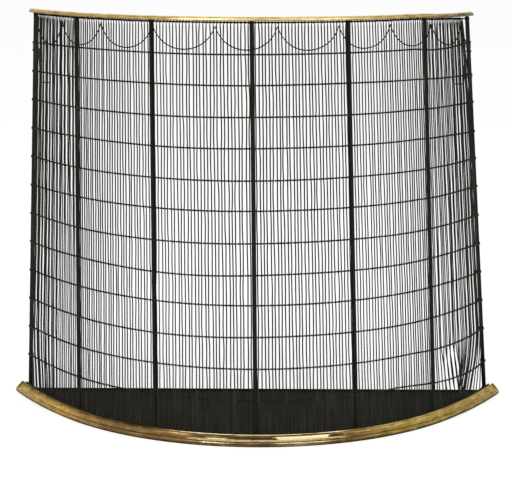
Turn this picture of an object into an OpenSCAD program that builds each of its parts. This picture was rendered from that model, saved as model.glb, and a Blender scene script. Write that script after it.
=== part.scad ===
// Bow-fronted nursery fire guard: a cage of iron wire on seven iron posts, standing in a
// brass-edged sheet-iron tray, with a brass rail on top and a swinging wall hook at each end.
// X runs along the hearth, +Y points back into the fireplace and Z is up from the floor.
// The bow is three arcs: a front arc and a flatter arc at each end. A place on it is given
// by its turn, the angle between the bow there and the X axis.

/* [Bow] */
// Radius of the front arc of the wires at the floor
base_front_r = 443; // [430:1:480]
// Radius of the side arcs of the wires at the floor
base_side_r = 852; // [750:1:1000]
// Radius of the front arc of the wires at the top rod
top_front_r = 418; // [400:1:430]
// Radius of the side arcs of the wires at the top rod
top_side_r = 675; // [600:1:750]
// Turn of the front arc from its middle to each side, in degrees
front_turn = 47.2; // [40:0.2:50]
// Turn of each side arc, in degrees
side_turn = 12.8; // [9:0.2:15]
// How far the top of the old cage has sagged to the right, less than zero for left
lean = -13; // [-20:1:20]
// How far the head of the middle post has moved to the right along the rail
middle_shift = 4; // [-8:0.5:8]

/* [Cage] */
// Height of the top rod above the bottom rod
cage_h = 715; // [500:5:900]
// Thickness of the upright wires
wire_d = 2.2; // [1.6:0.1:2.4]
// Upright wires between two posts
wires_per_bay = 29; // [15:1:29]
// How much wider the space beside an end post is than the other wire spaces
end_step = 1.2; // [0.6:0.1:3]
// Thickness of the cross wires
cross_d = 2.6; // [2:0.1:2.8]
// How much each gap between cross wires is wider than the one above it
row_growth = 0.32; // [0:0.02:1]
// How far the end of a cross wire stands past the end post
cross_nub = 2.6; // [1.5:0.1:4]
// Thickness of the top and bottom rods
rod_d = 2.8; // [2:0.1:3]

/* [Posts] */
// Thickness of the five posts between the ends
post_d = 7.6; // [5.6:0.1:7.8]
// Thickness of the two end posts
end_post_d = 7.8; // [7.4:0.1:8.2]
// Diameter of the swelled eye of a post round the top rod
eye_d = 8.6; // [8.2:0.1:9]
// How much thicker the eye of an end post is than the post
end_eye_more = 1; // [0.6:0.1:1.4]
// Height of the flat seat on the upper eye above the middle of the rod
seat_h = 2.7; // [2.3:0.1:3]
// Diameter of the tenon that holds the rail
tenon_d = 2.4; // [2:0.1:3]
// Length of the tenon
tenon_h = 3; // [2:0.5:4]

/* [Top rail] */
// Width of the brass rail
rail_w = 17; // [14:0.5:20]
// Height of the brass rail
rail_h = 7; // [6:0.5:10]
// Height of the square edge under the rail's round top
rail_edge_h = 1.4; // [0.8:0.1:2]
// How far the rail runs past the end posts
rail_overhang = 8; // [5:0.5:15]

/* [Swag] */
// Thickness of the swag wire
swag_d = 1.4; // [1:0.1:1.8]
// Wire spaces across one swag
swag_spaces = 19; // [13:2:25]
// Wire spaces between the left end post and the first peak
swag_start = 3; // [1:1:6]
// How far the peaks lie under the middle of the top rod
swag_peak_drop = 6.5; // [2:0.5:8]
// How far a swag hangs below its peaks
swag_depth = 38.5; // [25:0.5:40]
// How sharply the swags rise to their peaks
swag_power = 2.2; // [1.6:0.1:2.6]

/* [Tray] */
// Thickness of the floor plate
plate_t = 1.2; // [0.8:0.1:2]
// Depth of the tray behind the end posts
tray_back = 20; // [16:1:60]
// Thickness of the wire rolled into the back edge of the plate
rim_wire_d = 2.4; // [2:0.1:3]
// Height of the iron kerb above the plate
kerb_h = 20; // [19:0.5:24]
// Thickness of the kerb
kerb_t = 2; // [1.5:0.1:2.5]
// Depth of the kerb's foot under the brass moulding, with its upright leg
kerb_foot = 11; // [9:0.5:11]

/* [Base moulding] */
// Height of the brass moulding
moulding_h = 18.5; // [17:0.5:18.5]
// How far the moulding stands out from the kerb
moulding_out = 14; // [13:0.5:18]
// Radius of the bead along the upper edge
bead_r = 1; // [0.8:0.1:1.2]
// Depth of the step under the bead
fillet_h = 1.2; // [0.8:0.1:1.6]
// Radius of the hollow between the bead and the lip
cove_r = 14; // [12:0.5:30]
// Radius of the rounded shoulder of the lip
lip_r = 3.2; // [2.4:0.1:3.6]
// Height of the upright face of the lip
lip_h = 5; // [4.4:0.1:5.5]
// Width of the lip where it meets the floor
lip_foot = 3; // [2.5:0.1:3.4]

/* [Fixings] */
// Shank diameter of the rivets through the posts and the kerb
rivet_d = 3; // [2.4:0.1:3.4]
// Height of the post rivets above the plate
rivet_z = 12; // [11:0.5:14]
// Head diameter of the rivets
rivet_head_d = 5.2; // [4.4:0.1:5.4]
// Head thickness of the rivets
rivet_head_t = 1.1; // [0.8:0.1:1.2]
// Shank diameter of the moulding screws
screw_d = 2.6; // [2:0.1:3]
// Length of the moulding screws
screw_l = 5.5; // [4.5:0.1:5.8]
// Height of the moulding screws above the plate
screw_z = 9; // [8:0.5:10]

/* [Wall hooks] */
// Thickness of the hook wire
hook_d = 2.2; // [1.8:0.1:2.4]
// Length of a hook from its pin down to its tip
hook_l = 60; // [45:1:90]
// Length of the hook's turned-in tip
hook_tip = 17; // [12:0.5:22]
// Radius of the bend above the tip
hook_bend_r = 3; // [2.5:0.5:5]
// Thickness of the pin that carries a hook
pin_d = 2; // [1.6:0.1:2.4]
// Distance from the middle of the end post to the hook
hook_stand = 7; // [6.6:0.1:9]
// Distance of the pins below the top cross wire
pin_drop = 14; // [13.5:0.5:18]
// Radial clearance of a hook's eye round its pin
hook_play = 0.15; // [0.1:0.05:0.3]

/* [Bindings] */
// Thickness of the binding wire round the end posts
binding_d = 1; // [0.8:0.1:1]
// Turns of binding wire under the top cross wire
binding_turns = 5; // [3:1:5]
// Turns of binding wire under the second cross wire on the right
low_binding_turns = 3; // [2:1:5]
// Distance from one turn of a binding to the next
binding_pitch = 1.7; // [1.6:0.1:1.9]

/* [Hidden] */
// Clearance between pieces that lie against each other
lay_gap = 0.1;
// Clearance round rods, wires, rivets and tenons in their holes
hole_gap = 0.1;
// Cross wires from the kerb to the top rod
rows = 12;
// Bays of upright wires on the front arc
front_bays = 4;
// Height of the bottom rod above the plate
bottom_rod_h = 4.8;
// Clear height under the moulding for the kerb's foot and its rivets
rebate_h = 3.6;
// Steps in one turn of a binding
binding_steps = 24;
// Sides of a swept wire
wire_sides = 6;
// Moulding screws and kerb rivets stand at these shares of each bay
screw_share = 0.5;
kerb_rivet_share = 0.25;
// How far the kerb runs past the end posts
kerb_past = 4;
// How far the moulding's ends stay inside the rolled back edge
tail_inset = 1;
// How far the rods run past the end posts
rod_past = 1;
// Thickness of the heads of a hook's pin, and the play of the hook along the pin
pin_head_t = 1;
pin_play = 0.5;
$fn = 48;

// Turns of the seven posts
end_turn = front_turn + side_turn;
post_turns = concat([-end_turn],
    [for (i = [0:front_bays]) (2 * i / front_bays - 1) * front_turn], [end_turn]);
bays = len(post_turns) - 1;
function post_turn(i, z) = post_turns[i]
    + (i == bays / 2 ? middle_shift * level(z) / top_front_r * 180 / PI : 0);

// Heights
bottom_rod_z = plate_t + bottom_rod_h;
top_rod_z = bottom_rod_z + cage_h;
kerb_top = plate_t + kerb_h;
rail_z = top_rod_z + seat_h;
row_gap = (top_rod_z - kerb_top - row_growth * rows * (rows + 1) / 2) / (rows + 1);
function row_z(k) = top_rod_z - k * row_gap - row_growth * k * (k - 1) / 2;
pin_z = row_z(1) - pin_drop;

// Distances out from the middle of the upright wires
rod_out = -(wire_d + rod_d) / 2 - lay_gap;
cross_out = (wire_d + cross_d) / 2 + lay_gap;
swag_out = (wire_d + swag_d) / 2 + lay_gap;
kerb_in = wire_d / 2 + lay_gap;
kerb_face = kerb_in + kerb_t;
moulding_in = kerb_face + lay_gap;
lip_out = moulding_in + moulding_out;
plate_out = lip_out - lip_foot - 2 * lay_gap;
function post_size(i) = i == 0 || i == bays ? end_post_d : post_d;
function post_out(i) = (wire_d - post_size(i)) / 2;

// The bow at a height
function level(z) = (z - plate_t) / (top_rod_z - plate_t);
function front_r(z) = base_front_r + (top_front_r - base_front_r) * level(z);
function side_r(z) = base_side_r + (top_side_r - base_side_r) * level(z);
function bow_depth(z) = front_r(z) * (1 - cos(front_turn))
    + side_r(z) * (cos(front_turn) - cos(end_turn));
function front_centre(z) = [lean * level(z), post_y - bow_depth(z) + front_r(z)];
function side_centre(z, side) = front_centre(z)
    + (front_r(z) - side_r(z)) * [side * sin(front_turn), -cos(front_turn)];
function bow_at(turn, z, out) = (abs(turn) <= front_turn
    ? front_centre(z) + (front_r(z) + out) * [sin(turn), -cos(turn)]
    : side_centre(z, sign(turn)) + (side_r(z) + out) * [sin(turn), -cos(turn)]);
function on_bow(turn, z, out) = [bow_at(turn, z, out).x, bow_at(turn, z, out).y, z];
function setback(turn, z) = (bow_at(turn, plate_t, 0) - bow_at(turn, z, 0))
    * [sin(turn), -cos(turn)];
function turn_past(length, z) = end_turn + length / side_r(z) * 180 / PI;

// The origin is under the middle of the whole guard
guard_depth = bow_depth(plate_t) + lip_out + tray_back;
post_y = guard_depth / 2 - tray_back;
back_y = guard_depth / 2;
tail_y = back_y - tail_inset;
tail_turn = acos((side_centre(plate_t, 1).y - tail_y) / (base_side_r + moulding_in));

iron = [0.12, 0.115, 0.1];
worn_iron = [0.2, 0.17, 0.14];
brass = [0.72, 0.6, 0.33];
rust = [0.3, 0.2, 0.14];

// A round bar from one point to another
module bar(from, to, d) {
    v = to - from;
    translate(from) rotate([0, acos(v.z / norm(v)), atan2(v.y, v.x)]) cylinder(d = d, h = norm(v));
}

// Sweeps a flat outline, given as distance out and height, along the bow of a level.
// Each half is turned from the place where its two arcs meet, so that they meet exactly,
// and is cut at the middle plane, where the two halves are one another's mirror image.
module along_bow(z, reach) {
    r = round(front_r(z) * 100) / 100;
    end_r = round(side_r(z) * 100) / 100;
    reserve = 2 * (kerb_h + moulding_out);
    translate([lean * level(z), post_y - bow_depth(z) + r]) for (side = [0, 1]) mirror([side, 0, 0])
        difference() {
            rotate(front_turn - 90) {
                mirror([0, 1, 0]) rotate_extrude(angle = front_turn + 1, $fn = 360)
                    translate([r, 0]) children();
                translate([r - end_r, 0]) rotate_extrude(angle = reach - front_turn, $fn = 360)
                    translate([end_r, 0]) children();
            }
            translate([-reserve, -r - reserve, z - reserve])
                cube([reserve, 2 * reserve, 2 * reserve]);
        }
}

// A round wire along the bow
module bow_wire(z, out, d, reach) {
    along_bow(z, reach) translate([out, z]) circle(d = d, $fn = 20);
}

// The flat shape inside the bow at the floor, out to a distance and back to a line
module inside_bow(out, back) {
    overlap = kerb_foot / 2;
    join_y = bow_at(front_turn, plate_t, out).y + overlap;
    half = 2 * base_side_r;
    difference() {
        translate(front_centre(plate_t)) circle(r = base_front_r + out, $fn = 360);
        translate([-half, back - overlap]) square([2 * half, half]);
    }
    intersection() {
        translate(side_centre(plate_t, 1)) circle(r = base_side_r + out, $fn = 720);
        translate(side_centre(plate_t, -1)) circle(r = base_side_r + out, $fn = 720);
        translate([-half, join_y]) square([2 * half, back - join_y]);
    }
}

// A wire through points, as one closed skin with square ends
module sweep(path, d) {
    last = len(path) - 1;
    ahead = [for (i = [0:last]) let (v = path[min(i + 1, last)] - path[max(i - 1, 0)]) v / norm(v)];
    rings = [for (i = [0:last]) let (side = cross(ahead[i], [0, 0, 1]), u = side / norm(side),
        w = cross(u, ahead[i])) for (j = [0:wire_sides - 1]) let (a = 360 * j / wire_sides)
            path[i] + d / 2 * (cos(a) * u + sin(a) * w)];
    walls = [for (i = [0:last - 1], j = [0:wire_sides - 1])
        let (a = i * wire_sides + j, b = i * wire_sides + (j + 1) % wire_sides)
            each [[a, b + wire_sides, b], [a, a + wire_sides, b + wire_sides]]];
    caps = [for (j = [1:wire_sides - 2]) each [[0, j, j + 1],
        [last * wire_sides, last * wire_sides + j + 1, last * wire_sides + j]]];
    polyhedron(rings, concat(walls, caps));
}

// Turns the space so that local X points out of the bow, square to a post, at a post's middle
module at_post(i, z) {
    turn = post_turn(i, z);
    foot = on_bow(turn, bottom_rod_z, post_out(i));
    head = on_bow(turn, top_rod_z, post_out(i));
    out = [sin(turn), -cos(turn), 0];
    translate(on_bow(turn, z, post_out(i))) rotate(turn - 90)
        rotate([0, atan2((head - foot) * out, cage_h), 0]) children();
}

// Tray

function rim_r() = rim_wire_d / 2 + lay_gap / 2 + plate_t;

module floor_plate() {
    rim_y = back_y - rim_r();
    half_rim = bow_at(tail_turn, plate_t, moulding_in).x - kerb_t;
    color(iron) difference() {
        union() {
            linear_extrude(plate_t) inside_bow(plate_out, rim_y);
            translate([-half_rim, rim_y, rim_r()]) rotate([0, 90, 0])
                cylinder(r = rim_r(), h = 2 * half_rim);
        }
        translate([-half_rim - 1, rim_y, rim_r()]) rotate([0, 90, 0])
            cylinder(r = rim_r() - plate_t, h = 2 * half_rim + 2);
        for (p = kerb_rivet_places())
            translate([p.x, p.y, -1]) cylinder(d = rivet_d + 2 * hole_gap, h = plate_t + 2);
    }
}

module rim_wire() {
    half_rim = bow_at(tail_turn, plate_t, moulding_in).x - kerb_t;
    color(rust) translate([-half_rim, back_y - rim_r(), rim_r()]) rotate([0, 90, 0])
        cylinder(d = rim_wire_d, h = 2 * half_rim);
}

function bay_turn(bay, share, z) = post_turn(bay, z)
    + (post_turn(bay + 1, z) - post_turn(bay, z)) * share;
function kerb_rivet_places() = [for (bay = [0:bays - 1], s = [kerb_rivet_share, 1 - kerb_rivet_share])
    on_bow(bay_turn(bay, s, plate_t), plate_t, kerb_face + (kerb_foot - kerb_t) / 2)];

module kerb() {
    color(iron) difference() {
        along_bow(plate_t, turn_past(end_post_d / 2 + kerb_past, plate_t)) polygon([
            [kerb_in, plate_t], [kerb_in + kerb_foot, plate_t],
            [kerb_in + kerb_foot, plate_t + kerb_t], [kerb_face, plate_t + kerb_t],
            [kerb_face, kerb_top], [kerb_in, kerb_top]]);
        for (p = kerb_rivet_places())
            translate([p.x, p.y, 0]) cylinder(d = rivet_d + 2 * hole_gap, h = kerb_h / 2);
        for (i = [0:bays]) at_post(i, plate_t + rivet_z) rotate([0, 90, 0])
            cylinder(d = rivet_d + 2 * hole_gap, h = 3 * end_post_d);
        for (bay = [0:bays - 1]) at_screw(bay) screw_hole();
    }
}

module kerb_rivets() {
    color(iron) for (p = kerb_rivet_places()) translate([p.x, p.y, lay_gap]) {
        cylinder(d = rivet_d, h = plate_t + kerb_t);
        translate([0, 0, plate_t + kerb_t]) cylinder(d = rivet_head_d, h = rivet_head_t);
    }
}

module at_screw(bay) {
    turn = bay_turn(bay, screw_share, plate_t);
    translate(on_bow(turn, plate_t, kerb_in) + [0, 0, screw_z]) rotate(turn - 90)
        rotate([0, 90, 0]) children();
}
module screw_body(gap) {
    cylinder(d1 = 2 * screw_d + 2 * gap, d2 = screw_d + 2 * gap, h = kerb_t * 0.7);
    cylinder(d = screw_d + 2 * gap, h = screw_l + gap);
}
module screw_hole() {
    screw_body(hole_gap / 2);
    translate([0, 0, -1]) cylinder(d = 2 * screw_d + hole_gap, h = 1);
}

module moulding_screws() {
    color(worn_iron) for (bay = [0:bays - 1]) at_screw(bay) screw_body(0);
}

// Points of an arc in the moulding's outline
function arc(centre, r, from, to, steps) =
    [for (s = [0:steps]) centre + r * [cos(from + (to - from) * s / steps), sin(from + (to - from) * s / steps)]];

module moulding_outline() {
    bead_centre = [moulding_in + bead_r, moulding_h - bead_r];
    step_foot = [bead_centre.x + bead_r, moulding_h - 2 * bead_r - fillet_h];
    lip_centre = [lip_out - lip_r, lip_h];
    shoulder = lip_centre + [0, lip_r];
    chord = shoulder - step_foot;
    half = norm(chord) / 2;
    slope = atan2(chord.y, chord.x);
    cove_centre = (step_foot + shoulder) / 2
        + sqrt(cove_r * cove_r - half * half) * [-sin(slope), cos(slope)];
    spread = asin(half / cove_r);
    polygon(concat(
        [[moulding_in, plate_t + rebate_h], [lip_out - lip_foot, plate_t + rebate_h],
            [lip_out - lip_foot, 0], [lip_out - lip_foot / 5, 0], [lip_out, lip_h / 5]],
        arc(lip_centre, lip_r, 0, 90, 8),
        arc(cove_centre, cove_r, slope - 90 + spread, slope - 90 - spread, 8),
        arc(bead_centre, bead_r, -60, 90, 8),
        [[moulding_in, moulding_h]]));
}

module base_moulding() {
    color(brass) difference() {
        along_bow(plate_t, tail_turn) moulding_outline();
        for (bay = [0:bays - 1]) at_screw(bay) screw_hole();
    }
}

// Cage

module post(i) {
    d = post_size(i);
    inner = i > 0 && i < bays;
    head = on_bow(post_turn(i, top_rod_z), top_rod_z, post_out(i));
    foot = on_bow(post_turns[i], plate_t, post_out(i));
    tilt = acos((head - foot).z / norm(head - foot));
    color(iron) difference() {
        union() {
            bar(on_bow(post_turns[i], plate_t + d / 2 * sin(tilt), post_out(i)), head, d);
            translate(head) sphere(d = inner ? eye_d : d + end_eye_more);
        }
        translate([head.x, head.y, rail_z]) cylinder(d = 3 * d, h = 3 * d);
        for (z = [bottom_rod_z, top_rod_z]) tangent_hole(i, z, rod_out, rod_d);
        at_post(i, plate_t + rivet_z) rotate([0, 90, 0])
            cylinder(d = rivet_d + 2 * hole_gap, h = 3 * end_post_d, center = true);
        if (!inner) pin_hole(i);
    }
    color(iron) translate([head.x, head.y, rail_z]) cylinder(d = tenon_d, h = tenon_h);
}

// A hole through a post along the bow
module tangent_hole(i, z, out, d) {
    turn = post_turn(i, z);
    translate(on_bow(turn, z, out)) rotate(turn) rotate([0, 90, 0])
        cylinder(d = d + 2 * hole_gap, h = 3 * end_post_d, center = true);
}

module post_rivets() {
    color(iron) for (i = [0:bays]) at_post(i, plate_t + rivet_z) rotate([0, 90, 0]) {
        r = post_size(i) / 2;
        to_face = kerb_face - post_out(i) + setback(post_turns[i], plate_t + rivet_z);
        translate([0, 0, -r]) cylinder(d = rivet_d, h = r + to_face - lay_gap);
        translate([0, 0, -r - rivet_head_t]) cylinder(d = rivet_head_d, h = rivet_head_t);
    }
}

module bottom_rod() {
    color(iron) bow_wire(bottom_rod_z, rod_out, rod_d, turn_past(end_post_d / 2 + rod_past, bottom_rod_z));
}

module top_rod() {
    color(iron) bow_wire(top_rod_z, rod_out, rod_d, turn_past(end_post_d / 2 + rod_past, top_rod_z));
}

module top_rail() {
    dome_h = rail_h - rail_edge_h;
    middle = (rod_out - wire_d) / 4;
    color(brass) difference() {
        along_bow(top_rod_z, turn_past(rail_overhang, top_rod_z)) translate([middle, rail_z])
            polygon(concat([[-rail_w / 2, 0], [rail_w / 2, 0]],
                [for (a = [0:9:180]) [rail_w / 2 * cos(a), rail_edge_h + dome_h * sin(a)]]));
        for (i = [0:bays]) translate(on_bow(post_turn(i, top_rod_z), top_rod_z, post_out(i)))
            cylinder(d = tenon_d + 2 * hole_gap, h = seat_h + tenon_h + lay_gap);
    }
}

// Turn of an upright: they stand evenly, but a little further from an end post and its binding
function upright_turn(bay, j, z) = let (step = end_step / side_r(z) * 180 / PI,
    from = post_turn(bay, z) + (bay == 0 ? step : 0),
    to = post_turn(bay + 1, z) - (bay == bays - 1 ? step : 0)) from + (to - from) * j / (wires_per_bay + 1);

module wires_bay(bay) {
    color(iron) for (j = [1:wires_per_bay])
        bar(on_bow(upright_turn(bay, j, bottom_rod_z), bottom_rod_z - rod_d / 2, 0),
            on_bow(upright_turn(bay, j, top_rod_z), top_rod_z + rod_d / 2, 0), wire_d);
}

module cross_wire(k) {
    color(iron) bow_wire(row_z(k), cross_out, cross_d,
        turn_past(end_post_d / 2 + cross_nub, row_z(k)));
}

// The swag wire: a row of hanging curves counted in wire spaces from the left end post
spaces = wires_per_bay + 1;
function space_turn(s) = let (bay = min(floor(s / spaces), bays - 1))
    bay_turn(bay, s / spaces - bay, top_rod_z);
function swag_drop(s) = let (part = (s - swag_start) / swag_spaces, p = part - floor(part))
    swag_depth * (1 - pow(abs(2 * p - 1), swag_power));
function swag_point(s) = on_bow(space_turn(s), top_rod_z - swag_peak_drop - swag_drop(s), swag_out);

module swag_wire() {
    color(iron) sweep([for (s = [swag_start:bays * spaces]) swag_point(s)], swag_d);
}

// Wall hooks and bindings, drawn for the left end and mirrored in their direction for the right

function end_post(side) = side < 0 ? 0 : bays;
function post_middle(side, z) = on_bow(post_turns[end_post(side)], z, post_out(end_post(side)));
function pin_at(side) = post_middle(side, pin_z);

module pin_hole(i) {
    side = i == 0 ? -1 : 1;
    translate(pin_at(side)) rotate([0, 90, 0])
        cylinder(d = pin_d + 2 * hole_gap, h = 3 * end_post_d, center = true);
}

// The outer head stands off the post by what the leaning post gains over the head's width
module hook_pin(side) {
    reach = hook_stand + hook_d / 2 + pin_play;
    slope = abs(post_middle(side, top_rod_z).x - post_middle(side, bottom_rod_z).x) / cage_h;
    seat = end_post_d / 2 + pin_d * slope + lay_gap / 2;
    color(worn_iron) translate(pin_at(side)) rotate([0, -90 * side, 0]) {
        translate([0, 0, -seat - pin_head_t / 2]) cylinder(d = pin_d, h = seat + reach + pin_head_t);
        translate([0, 0, reach]) cylinder(d = 2 * pin_d, h = pin_head_t);
        translate([0, 0, -seat - pin_head_t]) cylinder(d = 2 * pin_d, h = pin_head_t);
    }
}

module hook(side) {
    eye_r = (pin_d + hook_d) / 2 + hook_play;
    color(worn_iron) translate(pin_at(side) + [-side * hook_stand, 0, 0]) {
        rotate([0, 90, 0]) rotate_extrude() translate([eye_r, 0]) circle(d = hook_d, $fn = 24);
        translate([0, 0, hook_bend_r - hook_l]) cylinder(d = hook_d, h = hook_l - hook_bend_r - eye_r);
        translate([-side * hook_bend_r, 0, hook_bend_r - hook_l])
            rotate([90, 0, 0]) rotate(side < 0 ? 180 : -90) rotate_extrude(angle = 90)
                translate([hook_bend_r, 0]) circle(d = hook_d, $fn = 24);
        translate([-side * hook_bend_r, 0, -hook_l]) rotate([0, -90 * side, 0])
            cylinder(d = hook_d, h = hook_tip - hook_bend_r);
    }
}

// A binding is one unbroken wire that climbs round the end post
binding_r = (end_post_d + binding_d) / 2 + lay_gap;
function binding_top(row) = row_z(row) - (cross_d + binding_d) / 2 - lay_gap;
function binding_point(side, row, turns, n) = let (z = binding_top(row) - binding_pitch * (turns - n),
    a = 90 - 60 * side + 360 * n) post_middle(side, z) + binding_r * [cos(a), sin(a), 0];

module binding(side, row, turns) {
    color(rust) sweep([for (i = [0:turns * binding_steps])
        binding_point(side, row, turns, i / binding_steps)], binding_d);
}

// The least gap between two turns of the longest binding, from the points it is swept through
binding_path = [for (i = [0:binding_turns * binding_steps])
    binding_point(1, 1, binding_turns, i / binding_steps)];
binding_gap = min([for (i = [0:len(binding_path) - 1], j = [i + binding_steps / 2:len(binding_path) - 1])
    norm(binding_path[i] - binding_path[j])]) - binding_d;
echo(least_gap_between_binding_turns = binding_gap);

floor_plate();
rim_wire();
kerb();
kerb_rivets();
base_moulding();
moulding_screws();
post(0);  // post_1
post(1);  // post_2
post(2);  // post_3
post(3);  // post_4
post(4);  // post_5
post(5);  // post_6
post(6);  // post_7
post_rivets();
bottom_rod();
top_rod();
top_rail();
wires_bay(0);  // wires_bay_1
wires_bay(1);  // wires_bay_2
wires_bay(2);  // wires_bay_3
wires_bay(3);  // wires_bay_4
wires_bay(4);  // wires_bay_5
wires_bay(5);  // wires_bay_6
cross_wire(1);  // cross_wire_01
cross_wire(2);  // cross_wire_02
cross_wire(3);  // cross_wire_03
cross_wire(4);  // cross_wire_04
cross_wire(5);  // cross_wire_05
cross_wire(6);  // cross_wire_06
cross_wire(7);  // cross_wire_07
cross_wire(8);  // cross_wire_08
cross_wire(9);  // cross_wire_09
cross_wire(10);  // cross_wire_10
cross_wire(11);  // cross_wire_11
cross_wire(12);  // cross_wire_12
swag_wire();
hook_pin(-1);  // hook_pin_left
hook_pin(1);  // hook_pin_right
hook(-1);  // hook_left
hook(1);  // hook_right
binding(-1, 1, binding_turns);  // binding_left
binding(1, 1, binding_turns);  // binding_right
binding(1, 2, low_binding_turns);  // low_binding_right
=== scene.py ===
"""Nursery fire guard: old brass, blackened iron and hand-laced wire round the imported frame."""

import math
import random

import bmesh
import bpy
from mathutils import Matrix, Vector


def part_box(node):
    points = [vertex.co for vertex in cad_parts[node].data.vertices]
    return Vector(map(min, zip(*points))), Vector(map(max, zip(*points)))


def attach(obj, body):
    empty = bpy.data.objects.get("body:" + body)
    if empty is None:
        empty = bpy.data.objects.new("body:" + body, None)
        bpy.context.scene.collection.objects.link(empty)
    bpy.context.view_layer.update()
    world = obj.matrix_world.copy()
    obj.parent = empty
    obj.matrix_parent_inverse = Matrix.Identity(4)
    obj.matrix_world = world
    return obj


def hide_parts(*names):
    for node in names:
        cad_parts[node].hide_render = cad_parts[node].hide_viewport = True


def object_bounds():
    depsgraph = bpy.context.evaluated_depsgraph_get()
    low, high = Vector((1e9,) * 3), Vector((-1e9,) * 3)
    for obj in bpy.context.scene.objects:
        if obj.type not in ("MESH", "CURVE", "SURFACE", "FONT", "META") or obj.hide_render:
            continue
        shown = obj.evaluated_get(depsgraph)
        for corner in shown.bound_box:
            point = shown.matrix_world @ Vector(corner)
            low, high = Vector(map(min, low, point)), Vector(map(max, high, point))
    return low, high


bl_info = {
    "name": "Nursery Fire Guard",
    "version": (1, 0, 0),
    "blender": (4, 5, 0),
    "location": "View3D > Sidebar > Fire Guard",
    "description": "Laced wirework, brass rail and moulding of a bow-fronted fire guard",
    "category": "Object",
}

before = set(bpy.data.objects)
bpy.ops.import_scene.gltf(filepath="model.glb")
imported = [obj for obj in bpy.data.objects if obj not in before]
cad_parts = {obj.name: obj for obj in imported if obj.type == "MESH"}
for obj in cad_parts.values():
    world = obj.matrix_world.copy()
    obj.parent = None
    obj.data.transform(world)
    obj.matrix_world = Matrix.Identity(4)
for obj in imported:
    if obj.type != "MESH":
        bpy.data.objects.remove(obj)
cad_low, cad_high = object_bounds()

MM = 0.001

# The bow, in millimetres and degrees: a front arc and a flatter arc at each end, which
# change evenly from the tray up to the top rod
BASE_FRONT_R, BASE_SIDE_R = 443.0, 852.0
TOP_FRONT_R, TOP_SIDE_R = 418.0, 675.0
FRONT_TURN, SIDE_TURN = 47.2, 12.8
END_TURN = FRONT_TURN + SIDE_TURN
LEAN = -13.0
PLATE_T = 1.2
BOTTOM_ROD_Z = 6.0
TOP_ROD_Z = 721.0
KERB_TOP = 21.2
TRAY_BACK = 20.0
POST_Y = cad_high.y / MM - TRAY_BACK
POST_TURNS = [-END_TURN] + [(i / 2 - 1) * FRONT_TURN for i in range(5)] + [END_TURN]
BAYS = 6
SPACES = 30
ROWS = 12
ROW_GROWTH = 0.32
MIDDLE_SHIFT = 4.0
END_STEP = 1.2

# Thicknesses and places of the ironwork that the wires go round
WIRE_R = 1.1
ROD_R, ROD_OUT = 1.4, -2.6
POST_R, END_POST_R = 3.8, 3.9
RAIL_Z = 723.7


def level(z):
    """Share of the way up from the tray to the top rod"""
    return (z - PLATE_T) / (TOP_ROD_Z - PLATE_T)


def front_r(z):
    return BASE_FRONT_R + (TOP_FRONT_R - BASE_FRONT_R) * level(z)


def side_r(z):
    return BASE_SIDE_R + (TOP_SIDE_R - BASE_SIDE_R) * level(z)


def cosine(turn):
    return math.cos(math.radians(turn))


def sine(turn):
    return math.sin(math.radians(turn))


def bow_depth(z):
    return front_r(z) * (1 - cosine(FRONT_TURN)) + side_r(z) * (cosine(FRONT_TURN) - cosine(END_TURN))


def arc_centre(z, side):
    """Middle of the front arc at a height, or of a side arc, in millimetres"""
    x, y = LEAN * level(z), POST_Y - bow_depth(z) + front_r(z)
    if side:
        shift = front_r(z) - side_r(z)
        x, y = x + shift * side * sine(FRONT_TURN), y - shift * cosine(FRONT_TURN)
    return x, y


def on_bow(turn, z, out=0.0, along=0.0):
    """A point in metres: at a turn and height, out from the wires' middle and along the bow"""
    side = 0 if abs(turn) <= FRONT_TURN else math.copysign(1, turn)
    radius = side_r(z) if side else front_r(z)
    turn += math.degrees(along / radius)
    x, y = arc_centre(z, side)
    return Vector((x + (radius + out) * sine(turn), y - (radius + out) * cosine(turn), z)) * MM


def post_turn(post, z):
    """Turn of a post at a height; the head of the middle one has moved along the rail"""
    moved = MIDDLE_SHIFT * level(z) / TOP_FRONT_R if post == BAYS // 2 else 0.0
    return POST_TURNS[post] + math.degrees(moved)


def space_turn(space, z):
    """Turn at a count of wire spaces from the left end post, at a height"""
    bay = min(max(int(space // SPACES), 0), BAYS - 1)
    left, right = post_turn(bay, z), post_turn(bay + 1, z)
    return left + (right - left) * (space / SPACES - bay)


def between(marks, place):
    """Value at a place of a line drawn through (place, value) marks"""
    for (first, start), (last, stop) in zip(marks, marks[1:]):
        if place <= last:
            return start + (stop - start) * max(0.0, place - first) / (last - first)
    return marks[-1][1]


# The right end of the top rod has settled with the last post: at a turn, in millimetres
SETTLED = ((44, 0), (47.2, 1.2), (50, 2.7), (53, 3.8), (57.5, 5.5), (60, 6.0))
# The rail has settled less, and shows the last post's tenon under it
RAIL_SETTLED = ((44, 0), (47.2, 1.2), (50, 2.5), (53, 3.3), (57.5, 3.8), (60, 3.8))


def settled(turn):
    """How far the top rod has settled at a turn, in millimetres"""
    return between(SETTLED, turn)


def upright_turn(bay, count, z):
    """Turn of an upright at a height: the space beside an end post is wider than the others"""
    step = math.degrees(END_STEP / side_r(z))
    left = post_turn(bay, z) + (step if bay == 0 else 0)
    right = post_turn(bay + 1, z) - (step if bay == BAYS - 1 else 0)
    return left + (right - left) * count / SPACES


def row_z(row):
    """Even height of a cross wire, counted from the top; the gaps grow a little downwards"""
    gap = (TOP_ROD_Z - KERB_TOP - ROW_GROWTH * ROWS * (ROWS + 1) / 2) / (ROWS + 1)
    return TOP_ROD_Z - row * gap - ROW_GROWTH * row * (row - 1) / 2


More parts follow.
